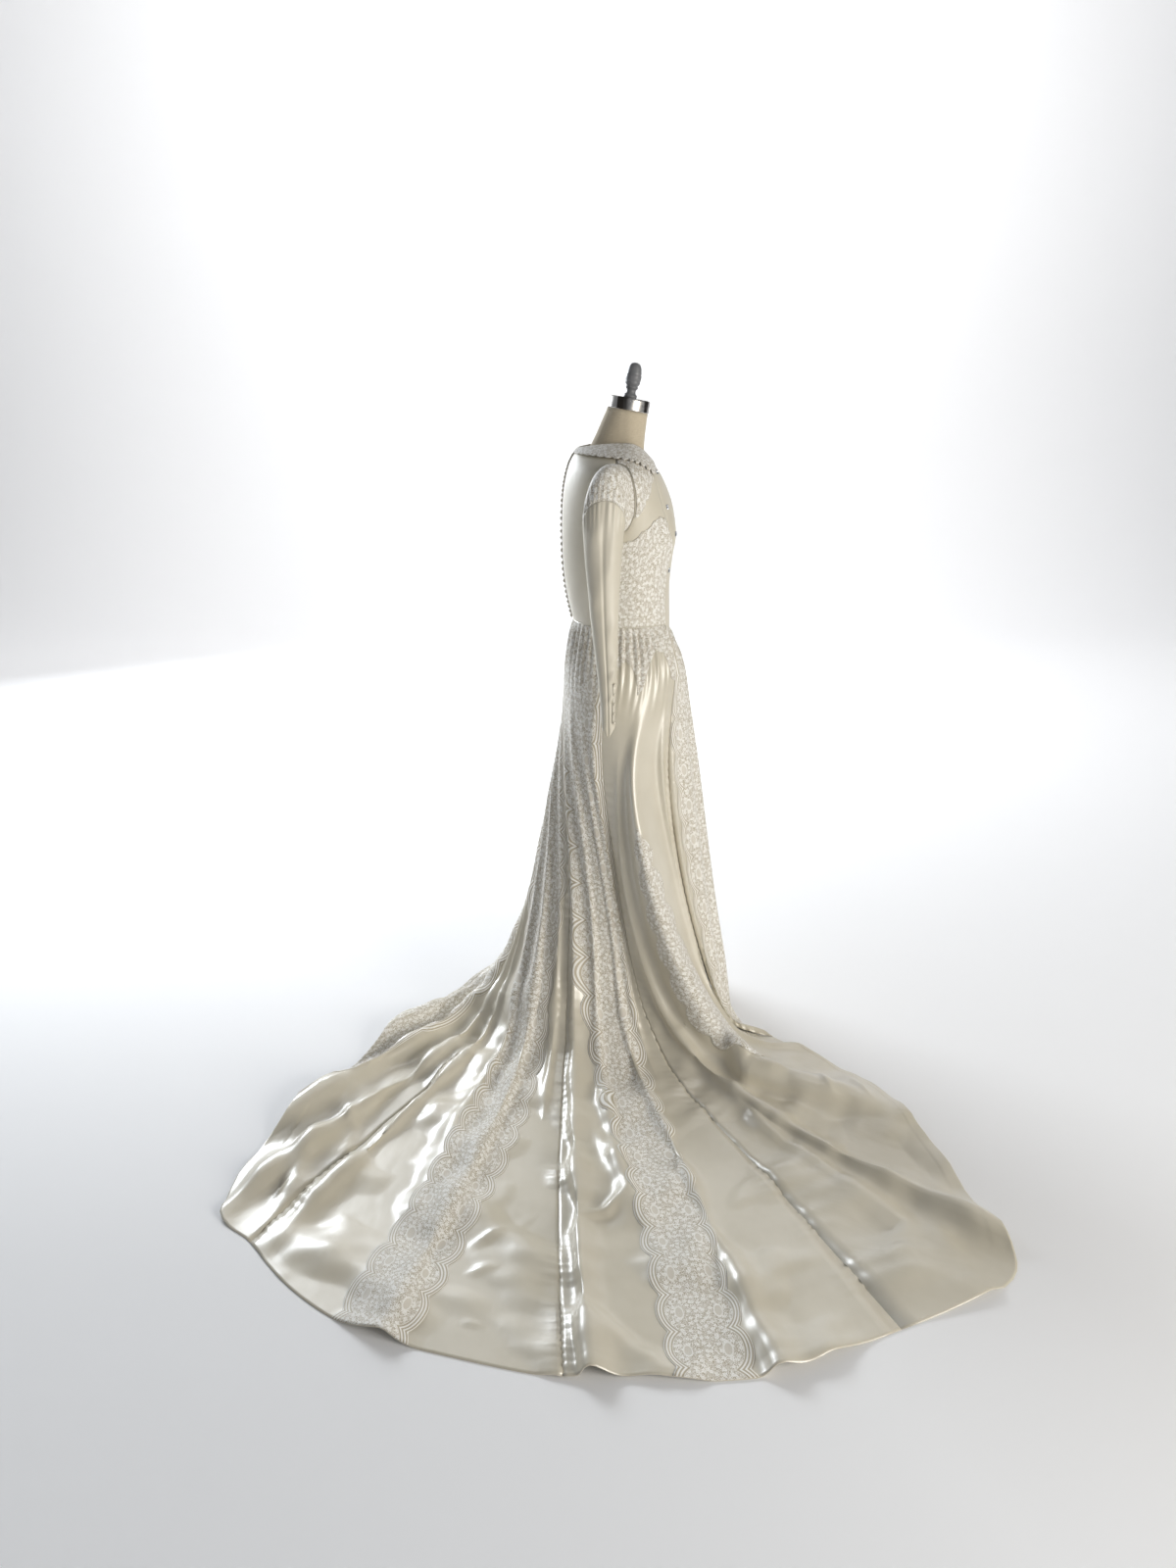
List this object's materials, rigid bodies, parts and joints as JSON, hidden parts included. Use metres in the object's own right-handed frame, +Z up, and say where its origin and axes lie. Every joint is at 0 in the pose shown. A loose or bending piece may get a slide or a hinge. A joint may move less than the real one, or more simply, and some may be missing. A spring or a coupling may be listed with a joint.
{
  "type": "wedding dress on dress form",
  "caption": "Long-sleeved satin and lace gown with a fitted bodice, gored skirt and swept train, worn on a limbless dress form with a stand.",
  "frame": {"origin": "centre of the stand's foot on the floor", "axes": "+Z up, +X to the wearer's front, +Y to the wearer's left"},
  "size_m": [1.4911, 1.5213, 1.5728],
  "materials": {
    "ivory_satin": "ivory duchess satin, glossy with long soft highlights",
    "ivory_lace": "off-white floral lace, matt",
    "form_linen": "beige linen cover, matt",
    "cap_chrome": "polished chrome",
    "finial_grey": "dark grey satin paint",
    "stand_steel": "brushed steel",
    "ornament_silver": "silver settings with clear stones"
  },
  "bodies": {
    "root": {"skirt_gore_front": "ivory_satin", "skirt_gore_right_side": "ivory_satin", "skirt_gore_right_back": "ivory_satin", "skirt_gore_left_back": "ivory_satin", "skirt_gore_left_side": "ivory_satin", "bodice_front": "ivory_satin", "bodice_side_front_right": "ivory_satin", "bodice_side_front_left": "ivory_satin", "bodice_back_right": "ivory_satin", "bodice_back_left": "ivory_satin", "sleeve_right": "ivory_satin", "sleeve_left": "ivory_satin", "back_buttons": "ivory_satin", "cuff_buttons_right": "ivory_satin", "cuff_buttons_left": "ivory_satin", "skirt_lace_front": "ivory_lace", "hip_lace_right_side": "ivory_lace", "skirt_lace_right_side": "ivory_lace", "skirt_lace_right_back": "ivory_lace", "skirt_lace_left_back": "ivory_lace", "skirt_lace_left_side": "ivory_lace", "yoke_lace_right": "ivory_lace", "yoke_lace_left": "ivory_lace", "midriff_lace_right": "ivory_lace", "midriff_lace_left": "ivory_lace", "collar_right": "ivory_lace", "collar_left": "ivory_lace", "sleeve_lace_right": "ivory_lace", "sleeve_lace_left": "ivory_lace", "form_torso": "form_linen", "form_neck_cap": "cap_chrome", "form_finial": "finial_grey", "stand_pole": "stand_steel", "stand_base": "stand_steel", "front_ornament_1": "ornament_silver", "front_ornament_2": "ornament_silver", "front_ornament_3": "ornament_silver", "front_ornament_4": "ornament_silver"}
  },
  "joints": []
}
